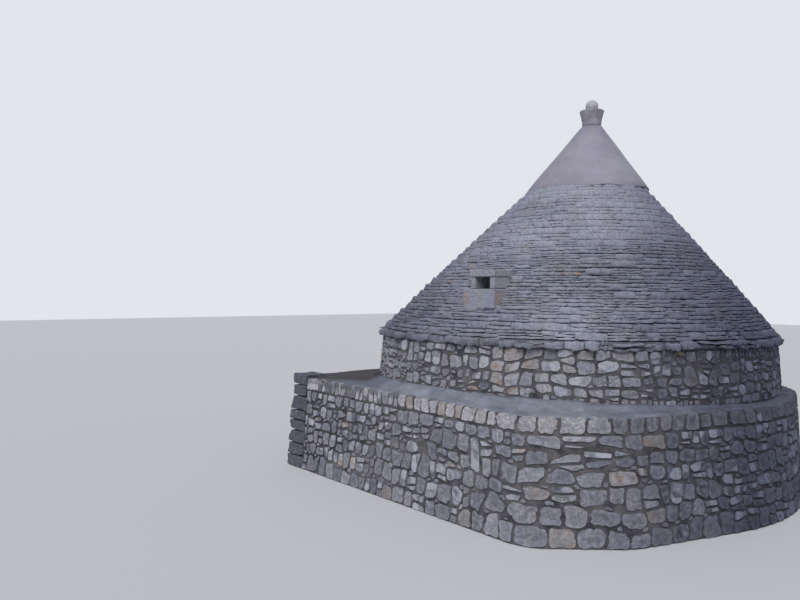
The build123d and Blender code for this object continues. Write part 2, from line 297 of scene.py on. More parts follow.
def set_up(shape, name, *finishes):
    """A finished shape as an object of the house, at the origin."""
    mesh = bpy.data.meshes.new(name)
    shape.to_mesh(mesh)
    shape.free()
    for finish in finishes:
        mesh.materials.append(finish)
    piece = bpy.data.objects.new(name, mesh)
    bpy.context.scene.collection.objects.link(piece)
    return piece


def recess_core(core, depth):
    """Draw the outer faces of a wall's core back behind its stones."""
    for vert in core.verts:
        reach = vert.co.xy.length
        if reach > OUTER_REACH:
            vert.co.xy *= 1 - depth / reach


def limewash_inside(core):
    """Give the faces that look into the room and the doorway the second finish."""
    core.normal_update()
    for face in core.faces:
        middle = face.calc_center_median()
        inward = face.normal.xy.dot(middle.xy) < -0.5
        reveal = abs(face.normal.y) > 0.9 and abs(middle.y) < REVEAL_REACH and middle.x < 0
        if inward or reveal or abs(face.normal.z) > 0.9 and middle.xy.length < OUTER_REACH:
            face.material_index = 1


def wall_ring(names, low, high):
    """The plan of a wall's outer face at two heights, from the doorway round to the doorway."""
    solid = joined_copy(names)
    tree = BVHTree.FromBMesh(solid)
    solid.free()
    bearings = np.linspace(-180.0, 180.0, RING_STEPS + 1)
    ring = {"bearing": bearings, "low": low, "high": high}
    for level, height in (("foot", low), ("head", high)):
        known, reaches = [], []
        for bearing in bearings:
            out = outward(math.radians(bearing))
            hit = tree.ray_cast(out * 2 * EYE.length + Vector((0, 0, height)), -out)[0]
            if hit and hit.dot(out) > OUTER_REACH:
                known.append(bearing)
                reaches.append(hit.dot(out))
        reaches = np.interp(bearings, known, reaches, period=360.0)
        reaches = np.median([np.roll(reaches, shift) for shift in (-1, 0, 1)], axis=0)
        ways = np.stack([np.cos(np.radians(bearings)), np.sin(np.radians(bearings))], axis=1)
        ring[level] = ways * reaches[:, None]
    steps = np.diff(ring["foot"], axis=0)
    ring["along"] = np.concatenate([[0.0], np.cumsum(np.hypot(*steps.T))])
    run = np.gradient(ring["foot"], ring["along"], axis=0)
    run /= np.linalg.norm(run, axis=1)[:, None]
    ring["out"] = np.stack([run[:, 1], -run[:, 0]], axis=1)
    return ring


def along_at(ring, bearing):
    """Distance along a wall's foot at a bearing."""
    return float(np.interp(bearing, ring["bearing"], ring["along"]))


def bearing_at(ring, along):
    """Bearing of a place along a wall's foot."""
    return float(np.interp(along, ring["along"], ring["bearing"]))


def bend_round(shape, ring):
    """Bend flat stonework round a wall: x runs along it, y up it, and z stands out of it."""
    flat = np.array([vert.co for vert in shape.verts])
    share = np.clip((flat[:, 1] - ring["low"]) / (ring["high"] - ring["low"]), 0.0, 1.2)
    place = []
    for axis in (0, 1):
        foot = np.interp(flat[:, 0], ring["along"], ring["foot"][:, axis])
        head = np.interp(flat[:, 0], ring["along"], ring["head"][:, axis])
        out = np.interp(flat[:, 0], ring["along"], ring["out"][:, axis])
        place.append(foot + (head - foot) * share + out * flat[:, 2])
    for vert, x, y, z in zip(shape.verts, *place, flat[:, 1]):
        vert.co = (x, y, z)


def round_off(stone, parts, offset, segments, affect="EDGES"):
    """Knock off the edges or the corners of a stone."""
    bmesh.ops.bevel(
        stone,
        geom=parts,
        offset=offset,
        offset_type="OFFSET",
        segments=segments,
        profile=0.5,
        affect=affect,
        clamp_overlap=True,
        material=-1,
    )


def add_stone(wall, outline, marks, recess, draw, depth):
    """One rubble stone from its flat outline: broken sides, knocked corners and a rough face."""
    bmesh.ops.remove_doubles(outline, verts=outline.verts, dist=SHORT_SIDE)
    if not outline.faces:
        outline.free()
        return
    face = outline.faces[:]
    size = 4 * face[0].calc_area() / face[0].calc_perimeter()
    middle = face[0].calc_center_median()
    for vert in outline.verts[:]:
        if vert.is_valid:
            knock = size * draw.uniform(*CORNER_KNOCK)
            round_off(outline, [vert], knock, draw.choice((1, 2, 2)), "VERTICES")
    long_sides = [edge for edge in outline.edges if edge.calc_length() > LONG_SIDE]
    if long_sides:
        cut = bmesh.ops.subdivide_edges(outline, edges=long_sides, cuts=2)["geom_inner"]
        for vert in verts_of(cut):
            vert.co += (vert.co - middle).normalized() * draw.uniform(*SIDE_BREAK) * size
    bmesh.ops.remove_doubles(outline, verts=outline.verts, dist=0.004)
    layer = outline.verts.layers.float_color.new("stone")
    for vert in outline.verts:
        vert.co.z = -recess
    rim_edges = outline.edges[:]
    face = outline.faces[:]
    proud = recess - draw.uniform(0.001, 0.006)
    rim = min(RIM_WIDTH, size * 0.09) * draw.uniform(0.6, 1.4)
    for width, rise in ((rim, RIM_SHARE), (size * draw.uniform(0.09, 0.16), 1 - RIM_SHARE)):
        bmesh.ops.inset_region(
            outline, faces=face, thickness=width, depth=proud * rise, use_even_offset=True
        )
    inner = set(face[0].verts)
    crown = bmesh.ops.poke(outline, faces=face)["verts"][0]
    crown.co.xy += Vector((draw.uniform(-0.2, 0.2), draw.uniform(-0.2, 0.2))) * size
    inner.add(crown)
    lean = Vector((draw.gauss(0, FACE_LEAN), draw.gauss(0, FACE_LEAN)))
    for vert in outline.verts:
        if vert.co.z > -recess + 0.001:
            rough = draw.uniform(-0.008, 0.003) if vert in inner else draw.uniform(-0.003, 0.0)
            vert.co.z = min(-0.0005, vert.co.z + rough + lean.dot(vert.co.xy - middle.xy))
    back = bmesh.ops.extrude_edge_only(outline, edges=rim_edges)["geom"]
    bmesh.ops.translate(outline, verts=verts_of(back), vec=(0, 0, -depth))
    open_edges = [edge for edge in outline.edges if edge.is_boundary]
    bmesh.ops.holes_fill(outline, edges=open_edges, sides=0)
    tone, worn, rusty, lichen = marks
    for vert in outline.verts:
        in_face = vert in inner
        edge_share = 0.0 if vert is crown else 0.3 if in_face else 1.0
        vert[layer] = (tone, worn * edge_share, rusty, lichen if in_face else 0.0)
    put_in(wall, outline)


def stone_marks(style, draw):
    """Tone, wear of the rim, rust and dark lichen of one stone of a given style."""
    tone = min(1.0, max(0.0, draw.gauss(style["tone"], 0.27)))
    rusty = draw.uniform(0.3, 1.0) if draw.random() < style["rust"] else 0.0
    lichen = style["lichen"] * draw.uniform(0.35, 1.0)
    return tone, style["worn"] * draw.uniform(0.5, 1.0), rusty, lichen


def parting(one, other):
    """A point of the joint between two stones, and the way that the joint faces."""
    arm = Vector((other["x"] - one["x"], other["y"] - one["y"], 0.0))
    halves = [math.hypot(arm.x / stone["wide"], arm.y / stone["tall"]) for stone in (one, other)]
    point = Vector((one["x"], one["y"], 0.0)) + arm * halves[1] / (halves[0] + halves[1])
    across = arm.x / (one["wide"] + other["wide"])
    up = arm.y / (one["tall"] + other["tall"])
    facing = Vector((across ** 3 / (one["wide"] + other["wide"]), 0.0, 0.0))
    facing.y = up ** 3 / (one["tall"] + other["tall"])
    turn = JOINT_TURN * drift(point.x * 9, point.y * 9, 3.0)
    return point, Matrix.Rotation(turn, 3, "Z") @ facing.normalized()


def outline_of(stone, neighbours, limits, draw):
    """The flat outline of one stone: the place that its neighbours and the wall's ends leave it."""
    outline = bmesh.new()
    bmesh.ops.create_grid(outline, x_segments=1, y_segments=1, size=0.5)
    bmesh.ops.scale(outline, verts=outline.verts, vec=(stone["wide"] * 2.4, stone["tall"] * 2.2, 1.0))
    bmesh.ops.translate(outline, verts=outline.verts, vec=(stone["x"], stone["y"], 0.0))
    for point, facing in limits + [parting(stone, other) for other in neighbours]:
        edge = point - facing * draw.uniform(*stone["joint"]) / 2
        if all((vert.co - edge).dot(facing) <= 0 for vert in outline.verts):
            continue
        bmesh.ops.bisect_plane(
            outline,
            geom=outline.verts[:] + outline.edges[:] + outline.faces[:],
            dist=0.0001,
            plane_co=edge,
            plane_no=facing,
            clear_outer=True,
        )
    return outline


def place_stones(start, end, course_count, bed, look, draw, gap):
    """Middles and half sizes of a wall's stones: rough courses, split places and wedged chips."""
    stones, taken = [], []
    for course in range(course_count):
        left = start
        while left < end:
            style = look(left, course)
            right = min(left + draw.triangular(*style["width"]), end)
            right = end if end - right < MIN_WIDTH else right
            x = (left + right) / 2
            free = not any(row == course and low < x < high for row, low, high in taken)
            wide_enough = right - left > DOUBLE_WIDTH and course + 1 < course_count
            rise = 2 if wide_enough and draw.random() < style["tall"] else 1
            foot, head = bed(course, x), bed(course + rise, x)
            chance = NARROW_SPLIT if right - left < 0.5 * (head - foot) else style["split"]
            split = course_count > 1 and head - foot > SPLIT_HEIGHT and draw.random() < chance
            middle = [foot + (head - foot) * draw.uniform(*SPLIT_SHARE)] if split else []
            cuts = [foot, *middle, head]
            if free and draw.random() < style["share"]:
                if rise == 2:
                    taken.append((course + 1, left, right))
                for low, high in zip(cuts, cuts[1:]):
                    shift = draw.uniform(-SEED_SHIFT, SEED_SHIFT) if course_count > 1 else 0.0
                    stone = dict(x=x + draw.uniform(-SEED_SHIFT, SEED_SHIFT), y=(low + high) / 2 + shift)
                    stone.update(wide=(right - left) / 2, tall=(high - low) / 2)
                    stones.append(dict(stone, joint=style["joint"], style=style))
                if course and draw.random() < style["chips"]:
                    chip = dict(x=left, y=foot, wide=draw.uniform(*CHIP_WIDE), tall=draw.uniform(*CHIP_TALL))
                    stones.append(dict(chip, joint=CHIP_JOINT, style=style))
            left = right
    return [stone for stone in stones if not gap[0] - 0.02 < stone["x"] < gap[1] + 0.02]


def lay_rubble(
    wall, start, end, course_count, bed, look, draw, gap=(0.0, 0.0), recess=JOINT_RECESS, depth=STONE_DEPTH
):
    """Rubble in rough courses between two places along a wall, each stone fitted to its neighbours."""
    stones = place_stones(start, end, course_count, bed, look, draw, gap)
    stones.sort(key=lambda stone: stone["x"])
    first = 0
    for stone in stones:
        while stones[first]["x"] < stone["x"] - NEIGHBOUR_REACH:
            first += 1
        near = []
        for other in stones[first:]:
            if other["x"] > stone["x"] + NEIGHBOUR_REACH:
                break
            if other is not stone and abs(other["y"] - stone["y"]) < NEIGHBOUR_REACH:
                near.append(other)
        x = stone["x"]
        sides = [(start, 0.0, -1, 0), (end, 0.0, 1, 0)]
        sides += [(x, bed(0, x), 0, -1), (x, bed(course_count, x), 0, 1)]
        if gap[1] > gap[0]:
            sides.append((gap[0], 0.0, 1, 0) if x < gap[0] else (gap[1], 0.0, -1, 0))
        limits = [(Vector((along, up, 0.0)), Vector((*facing, 0.0))) for along, up, *facing in sides]
        outline = outline_of(stone, near, limits, draw)
        at_end = min(x - start, end - x) < stone["wide"] + 0.03
        reach_in = END_DEPTH if at_end else depth
        add_stone(wall, outline, stone_marks(stone["style"], draw), recess, draw, reach_in)


rubble = stone_finish("rubble_limestone", RUBBLE_DARK, RUBBLE_PALE, RUBBLE_RIM, 0.55)
wall_joints = joint_finish("wall_mortar", JOINT_DARK, JOINT_PALE)
limewash = limewash_finish()

base_low, base_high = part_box("base_wall_right")
base_core = joined_copy(BASE_NODES)
limewash_inside(base_core)
recess_core(base_core, JOINT_RECESS)
base_mortar = set_up(base_core, "base_wall_mortar", wall_joints, limewash)
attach(base_mortar, "root")
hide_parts(*BASE_NODES)

BASE_COURSES = (0.0, 0.24, 0.46, 0.67, 0.87, 1.05, 1.22)
BED_WANDER = 0.07
BED_RIPPLE = 0.03
base_ring = wall_ring(BASE_NODES, base_low.z + 0.001, base_high.z - 0.001)
door_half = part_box("door_jamb_left")[0].y
door_turn = math.degrees(math.asin(door_half / -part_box("base_wall_door_left")[0].x))
base_start = along_at(base_ring, -180 + door_turn)
base_end = along_at(base_ring, 180 - door_turn)
pier_low, pier_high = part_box("corner_pier")
inside_pier = (base_ring["foot"][:, 0] < pier_high.x) & (base_ring["foot"][:, 1] < pier_high.y)
pier_gap = (base_ring["along"][inside_pier].min(), base_ring["along"][inside_pier].max())


def base_bed(course, along):
    """Height of a bed joint of the base, which wanders up and down but for the first and last."""
    if course in (0, len(BASE_COURSES) - 1):
        return BASE_COURSES[course]
    wander = BED_WANDER * drift(along * 1.1, course * 7.7, 0.0)
    return BASE_COURSES[course] + wander + BED_RIPPLE * drift(along * 5.0, course * 3.1, 6.0)


def base_look(along, course):
    """Sizes and tones of the base's stones: long and large right of the middle, small elsewhere."""
    bearing = bearing_at(base_ring, along)
    style = dict(width=(0.1, 0.31, 0.18), joint=(0.016, 0.05), split=0.22, tall=0.02, chips=0.5)
    style.update(tone=0.6, rust=0.07, share=1.0, worn=0.85, lichen=0.6)
    if -66 < bearing < -38:
        style.update(width=(0.14, 0.42, 0.24), split=0.34, tall=0.03, tone=0.64, rust=0.14)
        if course < 2:
            style.update(width=(0.2, 0.42, 0.3), split=0.12)
    # Right of the middle the stones take a darker tone and more lichen, which also paints in the shade of
    # the side turned from the light.
    elif -38 <= bearing < 60:
        style.update(width=(0.1, 0.29, 0.19), joint=(0.016, 0.046), tone=0.32, rust=0.02)
        style.update(worn=1.0, lichen=1.0)
    elif bearing < -100:
        style.update(width=(0.09, 0.26, 0.15), joint=(0.016, 0.054), tone=0.5)
    return style


base_draw = random.Random(BASE_SEED)
base_faces = bmesh.new()
base_count = len(BASE_COURSES) - 1
lay_rubble(base_faces, base_start, base_end, base_count, base_bed, base_look, base_draw, gap=pier_gap)
bmesh.ops.recalc_face_normals(base_faces, faces=base_faces.faces)
bend_round(base_faces, base_ring)
base_stones = set_up(base_faces, "base_wall_stones", rubble)
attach(base_stones, "root")
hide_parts(*BASE_NODES)


# Corner pier: squared blocks stacked at the left end of the straight front, each course bonded
# with the wall behind it, a little proud of both faces.
PIER_COURSES = 8
PIER_JOINT = 0.011
PIER_EDGE = 0.02
PIER_SIDE = 0.33
PIER_WANDER = 0.025
PIER_BOND = (0.02, 0.07)
PIER_WEAR = 0.036
PIER_SEED = 5
# The pier's colours are darker than the wall's: its own dark, lichened stone together with painted shade of
# the tree over it.
PIER_SHADED_DARK = (62, 65, 77)
PIER_SHADED_PALE = (122, 124, 134)
PIER_SHADED_RIM = (160, 163, 174)


def dress(block, edge, cuts, depth, grain, loss, marks):
    """Finish a squared stone: rounded edges, faces worn unevenly and one set of marks all over."""
    round_off(block, block.edges[:], edge, 2)
    bmesh.ops.subdivide_edges(block, edges=block.edges[:], cuts=cuts, use_grid_fill=True)
    middle = sum((vert.co for vert in block.verts), Vector()) / len(block.verts)
    for vert in block.verts:
        vert.co += (vert.co - middle).normalized() * depth * (noise.noise(vert.co * grain) - loss)
    layer = block.verts.layers.float_color.new("stone")
    for vert in block.verts:
        vert[layer] = marks
    bmesh.ops.recalc_face_normals(block, faces=block.faces)


pier_draw = random.Random(PIER_SEED)
pier_faces = bmesh.new()
foot = pier_low.z
for course in range(PIER_COURSES):
    head = pier_high.z - (PIER_COURSES - 1 - course) * (pier_high.z / PIER_COURSES)
    head += pier_draw.uniform(-PIER_WANDER, PIER_WANDER) if course < PIER_COURSES - 1 else 0.0
    wear = pier_draw.uniform(0.0, 0.014)
    bond = pier_draw.uniform(*PIER_BOND)
    block = bmesh.new()
    bmesh.ops.create_cube(block, size=1.0)
    for vert in block.verts:
        level = head - PIER_JOINT if vert.co.z > 0 else foot
        spread = (pier_high.x - pier_low.x - PIER_SIDE) * (1 - level / pier_high.z)
        reach = PIER_SIDE + spread - wear
        for axis in (0, 1):
            vert.co[axis] = pier_high[axis] - (reach if vert.co[axis] < 0 else -bond)
        vert.co.z = level
    marks = (pier_draw.uniform(0.0, 0.35), 0.12, 0.0, 1.0)
    dress(block, PIER_EDGE, cuts=1, depth=PIER_WEAR, grain=7.0, loss=0.45, marks=marks)
    for vert in block.verts:
        vert.co.z = max(vert.co.z, pier_low.z)
    put_in(pier_faces, block)
    foot = head
pier_shaded_finish = stone_finish("pier_limestone_in_shade", PIER_SHADED_DARK, PIER_SHADED_PALE, PIER_SHADED_RIM, 0.55)
pier_stones = set_up(pier_faces, "corner_pier_stones", pier_shaded_finish)
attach(pier_stones, "root")
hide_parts("corner_pier")


# Coping: limestone blocks set on edge in mortar along the lip of the ledge, narrow at the left and
# wider to the right. They weigh the wall's top down and keep the ledge's mortar in.
COPING_NODES = ["coping_front", "coping_right", "coping_back", "coping_door_side"]
COPING_DEPTH = 0.2
COPING_SINK = 0.03
COPING_WANDER = 0.012
COPING_SEED = 23
COPING_PALE = (198, 196, 202)
COPING_RIM = (212, 211, 217)

coping_low, coping_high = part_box("coping_back")


def sink_top(core, depth):
    """Lower the top of a core under what is laid on it."""
    for vert in core.verts:
        if vert.co.z > coping_high.z - 0.01:
            vert.co.z -= depth


coping_core = joined_copy(COPING_NODES)
recess_core(coping_core, JOINT_RECESS)
sink_top(coping_core, COPING_SINK)
coping_mortar = set_up(coping_core, "coping_mortar", wall_joints)
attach(coping_mortar, "root")
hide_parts(*COPING_NODES)


def coping_bed(course, along):
    """Foot and top of the coping stones, whose tops are nearly even."""
    if course == 0:
        return coping_low.z + COPING_WANDER * drift(along * 2.1, 3.3, 0.0)
    return coping_high.z - 0.001 - COPING_WANDER * abs(drift(along * 3.7, 9.1, 0.0))


def coping_look(along, course):
    """Widths and tones of the coping stones along the lip."""
    bearing = bearing_at(base_ring, along)
    style = dict(width=(0.12, 0.3, 0.2), joint=(0.024, 0.062), split=0.0, tall=0.0, chips=0.0)
    style.update(tone=0.12, rust=0.0, share=1.0, worn=1.0, lichen=0.7)
    if bearing < -98:
        style.update(width=(0.06, 0.15, 0.1), joint=(0.016, 0.044), tone=0.06, lichen=0.9, worn=0.7)
    elif bearing < -68:
        style.update(width=(0.11, 0.22, 0.16), joint=(0.02, 0.05), tone=1.0, rust=0.5, lichen=0.2)
    elif bearing < -50:
        style.update(width=(0.16, 0.36, 0.24), joint=(0.02, 0.05), tone=1.0, rust=0.1, lichen=0.5)
    return style


coping_draw = random.Random(COPING_SEED)
coping_faces = bmesh.new()
lay_rubble(
    coping_faces, base_start, base_end, 1, coping_bed, coping_look, coping_draw, pier_gap, depth=COPING_DEPTH
)
bmesh.ops.recalc_face_normals(coping_faces, faces=coping_faces.faces)
coping_ring = wall_ring(COPING_NODES, coping_low.z + 0.001, coping_high.z - 0.001)
in_doorway = np.abs(coping_ring["bearing"]) > 180 - door_turn
for level in ("foot", "head"):
    coping_ring[level][in_doorway] = base_ring["head"][in_doorway]
coping_ring.update(along=base_ring["along"], out=base_ring["out"])
bend_round(coping_faces, coping_ring)
coping_finish = stone_finish("coping_limestone", RUBBLE_DARK, COPING_PALE, COPING_RIM, 0.45)
coping_stones = set_up(coping_faces, "coping_stones", coping_finish)
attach(coping_stones, "root")
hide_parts(*COPING_NODES)


# Topping of the ledge: lime mortar smeared over the rubble and up against the drum wall,
# smooth and pale, washed thin towards the lip.
TOPPING_NODES = ["ledge_topping_left", "ledge_topping_right"]
TOPPING_THICK = 0.04
TOPPING_SINK = 0.02
TOPPING_RIPPLE = 0.01
LIP_MARGIN = 0.045
LIP_WANDER = 0.03
LIP_DROP = 0.022
DRUM_LAP = 0.03
DRUM_GAP = 0.004
DOOR_MARGIN = 0.008
TOPPING_DARK = (104, 109, 122)
TOPPING_PALE = (146, 152, 167)
# Painted shade of the trees, on the topping towards the far left and on the platform behind the coping.
TOPPING_TREE_SHADE = (86, 90, 104)
PLATFORM_TREE_SHADE = (50, 48, 52)

topping_finish, tree, shader = new_finish("ledge_mortar", 0.85)
body = cover(tree, speckle(tree, 0.25, 8, 0.35, 0.7), TOPPING_DARK, TOPPING_PALE)
body = cover(tree, times(tree, speckle(tree, 0.05, 8, 0.5, 0.75), 0.6), body, JOINT_PALE)
# The topping darkens towards the far left with painted shade of the trees.
tree_shade_left = band(tree, (1.0, 0.0, 0.0), -0.3, -1.6, 1.0)
body = cover(tree, times(tree, tree_shade_left, 0.85), body, TOPPING_TREE_SHADE)
# The platform behind the coping on the left is painted dark with the trees' shade.
behind_coping = band(tree, (-0.6, 0.8, 0.0), -1.34, -1.14, 0.5)
shaded = times(tree, behind_coping, band(tree, (0.0, 1.0, 0.0), 0.6, 0.0, 1.0))
body = cover(tree, shaded, body, PLATFORM_TREE_SHADE)
complete(tree, shader, painted_side_shade(tree, body), (0.2, 5, 0.02), (0.02, 8, 0.004))

ledge_core = joined_copy(TOPPING_NODES)
sink_top(ledge_core, TOPPING_SINK)
ledge_fill = set_up(ledge_core, "ledge_fill", topping_finish)
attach(ledge_fill, "root")
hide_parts(*TOPPING_NODES)

drum_foot = -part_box("drum_wall_door_left")[0].x
eave_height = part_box("drum_wall_right")[1].z
ledge_tree = BVHTree.FromBMesh(joined_copy(TOPPING_NODES + COPING_NODES))


def ledge_height(spot):
    """Height of the ledge at a spot on it."""
    hit = ledge_tree.ray_cast(Vector((*spot.xy, eave_height)), Vector((0, 0, -1)))[0]
    return hit.z if hit else coping_high.z


sheet = bmesh.new()
bmesh.ops.create_grid(sheet, x_segments=600, y_segments=12, size=0.5)
bmesh.ops.recalc_face_normals(sheet, faces=sheet.faces)
lip = wall_ring(TOPPING_NODES + COPING_NODES, coping_low.z + 0.001, coping_high.z - 0.001)["head"]
for vert in sheet.verts:
    bearing = -180 + door_turn + (vert.co.x + 0.5) * (360 - 2 * door_turn)
    share = vert.co.y + 0.5
    out = outward(math.radians(bearing)).xy
    reach = math.hypot(*(np.interp(bearing, base_ring["bearing"], lip[:, axis]) for axis in (0, 1)))
    outer = reach - (LIP_MARGIN + LIP_WANDER * drift(bearing * 0.35, 4.0, 0.0))
    inner = drum_foot - DRUM_LAP
    radius = inner + (outer - inner) * share
    spot = out * max(radius, drum_foot + DRUM_GAP)
    ripple = TOPPING_RIPPLE * drift(spot.x * 2.2, spot.y * 2.2, 1.0)
    edge = -LIP_DROP if share > 0.99 else 0.0
    vert.co = (*(out * radius), ledge_height(spot) - 0.004 + ripple + edge)
    if vert.co.x < 0 and abs(vert.co.y) < door_half + DOOR_MARGIN:
        vert.co.y = math.copysign(door_half + DOOR_MARGIN, vert.co.y)
bmesh.ops.solidify(sheet, geom=sheet.faces[:], thickness=TOPPING_THICK)
bmesh.ops.recalc_face_normals(sheet, faces=sheet.faces)
for face in sheet.faces:
    face.smooth = True
topping = set_up(sheet, "ledge_topping", topping_finish)
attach(topping, "root")
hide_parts(*TOPPING_NODES)


# Drum wall: smaller rubble over the ledge, five courses of it with wide joints, squared and
# yellowish near the middle. Its lowest course is of chips pressed into the mortar.
DRUM_NODES = ["drum_wall_" + sector for sector in WALL_SECTORS]
DRUM_SHARES = (0.0, 0.16, 0.35, 0.56, 0.78, 1.0)
DRUM_RECESS = 0.017
DRUM_FACE = 0.56
DRUM_WANDER = 0.05
DRUM_RIPPLE = 0.026
DRUM_SEED = 37

drum_core = joined_copy(DRUM_NODES + ["drum_wall_over_door"])
limewash_inside(drum_core)
recess_core(drum_core, DRUM_RECESS)
drum_mortar = set_up(drum_core, "drum_wall_mortar", wall_joints, limewash)
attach(drum_mortar, "root")
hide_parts(*DRUM_NODES, "drum_wall_over_door")

drum_ring = wall_ring(DRUM_NODES, eave_height - DRUM_FACE, eave_height - 0.001)
jamb_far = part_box("door_jamb_left")[1].y
drum_turn = math.degrees(math.asin(jamb_far / drum_foot))
drum_start = along_at(drum_ring, -180 + drum_turn)
drum_end = along_at(drum_ring, 180 - drum_turn)
drum_count = len(DRUM_SHARES) - 1


def drum_bed(course, along):
    """Height of a bed joint of the drum wall, whose first course stands on the ledge."""
    out = outward(math.radians(bearing_at(drum_ring, along)))
    foot = ledge_height(out * (drum_foot + DRUM_GAP)) + 0.004
    level = foot + (eave_height - foot) * DRUM_SHARES[course]
    if course in (0, drum_count):
        return level
    wander = DRUM_WANDER * drift(along * 1.3, course * 5.3, 8.0)
    return level + wander + DRUM_RIPPLE * drift(along * 5.0, course * 9.1, 2.0)


def drum_look(along, course):
    """Sizes and tones of the drum's stones: chips at its foot, and squared ones near the middle."""
    bearing = bearing_at(drum_ring, along)
    style = dict(width=(0.08, 0.25, 0.15), joint=(0.018, 0.05), split=0.2, tall=0.03, chips=0.35)
    style.update(tone=0.58, rust=0.1, share=1.0, worn=0.7, lichen=0.35)
    if -75 < bearing < -40:
        style.update(width=(0.15, 0.29, 0.21), joint=(0.018, 0.036), split=0.16, chips=0.15)
        style.update(tone=0.72, rust=0.4, lichen=0.2)
    # Right of the middle the stones take a darker tone and more lichen, which also paints in the shade of
    # the side turned from the light.
    elif -40 <= bearing < 60:
        style.update(tone=0.34, rust=0.04, worn=1.0, lichen=1.0)
    if course == 0:
        style.update(width=(0.045, 0.11, 0.075), joint=(0.016, 0.03), share=0.62, tall=0.0, chips=0.0)
        style.update(tone=1.0, lichen=0.0)
    if course == drum_count - 1 and -20 < bearing < 60:
        style.update(width=(0.06, 0.13, 0.08), split=0.05)
    return style


drum_draw = random.Random(DRUM_SEED)
drum_faces = bmesh.new()
lay_rubble(
    drum_faces, drum_start, drum_end, drum_count, drum_bed, drum_look, drum_draw, recess=DRUM_RECESS
)
lintel_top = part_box("door_lintel")[1].z


def over_door_look(along, course):
    """Stones over the door, like those of the drum's middle courses."""
    return drum_look(along, 2)


def over_door_bed(course, along):
    """Foot and top of the stones between the door's lintel and the eave."""
    return lintel_top + 0.002 if course == 0 else eave_height


for first, last in ((0.0, drum_start), (drum_end, float(drum_ring["along"][-1]))):
    lay_rubble(drum_faces, first, last, 1, over_door_bed, over_door_look, drum_draw, recess=DRUM_RECESS)
bmesh.ops.recalc_face_normals(drum_faces, faces=drum_faces.faces)
bend_round(drum_faces, drum_ring)
drum_stones = set_up(drum_faces, "drum_wall_stones", rubble)
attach(drum_stones, "root")
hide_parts(*DRUM_NODES, "drum_wall_over_door")


# Doorway: two upright jambs of squared limestone and the lintel that lies on them, bedded in the
# drum wall on the side away from the view. Their edges are worn round.
DRESSED_DARK = (100, 101, 107)
DRESSED_PALE = (154, 154, 159)


def dressed_copy(name, edge, wear, lichen):
    """A squared stone from its plain solid, with worn edges and a slightly uneven face."""
    block = joined_copy([name])
    bmesh.ops.dissolve_limit(block, angle_limit=0.02, verts=block.verts, edges=block.edges)
    dress(block, edge, cuts=3, depth=wear / 2, grain=6.0, loss=1.0, marks=(0.6, 0.3, 0.0, lichen))
    return block


dressed = stone_finish("dressed_limestone", DRESSED_DARK, DRESSED_PALE, RUBBLE_RIM, 0.35)
for name in ("door_jamb_left", "door_jamb_right", "door_lintel"):
    stone = set_up(dressed_copy(name, 0.015, 0.018, 0.6), name + "_stone", dressed)
    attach(stone, "root")
    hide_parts(name)


# Cone roof: courses of flat limestone slabs laid dry, each set back behind the one below, over a
# corbelled vault. The slabs are broken to shape with a hammer and their edges weather dark.
ROOF_SECTORS = SHARED_SECTORS + ["left"]
ROOF_NODES = ["roof_" + sector for sector in ROOF_SECTORS]
BAY_NODES = ["roof_below_window", "roof_above_window"]
COURSE_COUNT = 23
UPPER_COURSE = 8
EAVE_RADIUS = 3.03
FIRST_RADIUS = 2.92
LAST_RADIUS = 0.985
CONE_BULGE = 0.02
CORE_DROP = 0.008
CORE_INSET = 0.036
EAVE_INSET = 0.12
SLAB_SEGMENTS = 6
MIN_SLAB = 0.05
SLAB_LAP = 0.03
SLAB_BOW = 0.008
FRONT_BREAK = (-0.026, 0.003)
CORNER_DROP = 0.022
COURSE_WANDER = 0.016
ROOF_LIGHT_TURN = 0.92
SLAB_WIDTH = (0.1, 0.38, 0.17)
EAVE_WIDTH = (0.14, 0.5, 0.26)
LAYER_ODDS = (4, 9, 5)
UPPER_ODDS = (5, 3)
UPPER_RISE = 0.6
SLAB_LEAN = 0.055
SLAB_DEPTH = 0.22
EAVE_DEPTH = 0.3
EAVE_LEAN = 0.012
EAVE_GAP = 0.012
EAVE_LOOSE = 2.2
EAVE_SAG = 0.026
EAVE_DROOP = 0.13
WASH_RISE = 0.54
BELT_RISE = 0.47
BELT_HALF = 0.14
BELT_WAY = 0.35
SHELL_REACH = 2.62
SHELL_SLOPE = 0.8
ROOF_SEED = 51
GAP_DARK = (92, 94, 106)
GAP_PALE = (122, 124, 137)
SLAB_DARK = (98, 102, 120)
SLAB_PALE = (168, 171, 189)
SLAB_RIM = (172, 175, 191)
# Painted shade of the trees over the roof's left side: the way it deepens and its colour.
SHADY_WAY = (-0.82, -0.57, 0.0)
PAINTED_TREE_SHADE = (200, 202, 209)

cap_foot_low, cap_foot_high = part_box("cap_cone")
cap_foot = (cap_foot_low + cap_foot_high) / 2
cap_foot.z = cap_foot_low.z
course_height = (cap_foot.z - eave_height) / COURSE_COUNT


def rise_at(height):
    """Share of the way up from the eave to the foot of the cap."""
    return (height - eave_height) / (cap_foot.z - eave_height)


def cone_centre(height):
    """Centre of the leaning cone at a height."""
    return cap_foot.xy * rise_at(height)


def course_reach(course):
    """Outer reach of a slab course."""
    if course == 0:
        return EAVE_RADIUS
    share = (course - 1) / (COURSE_COUNT - 2)
    return FIRST_RADIUS + (LAST_RADIUS - FIRST_RADIUS) * share + 4 * CONE_BULGE * share * (1 - share)


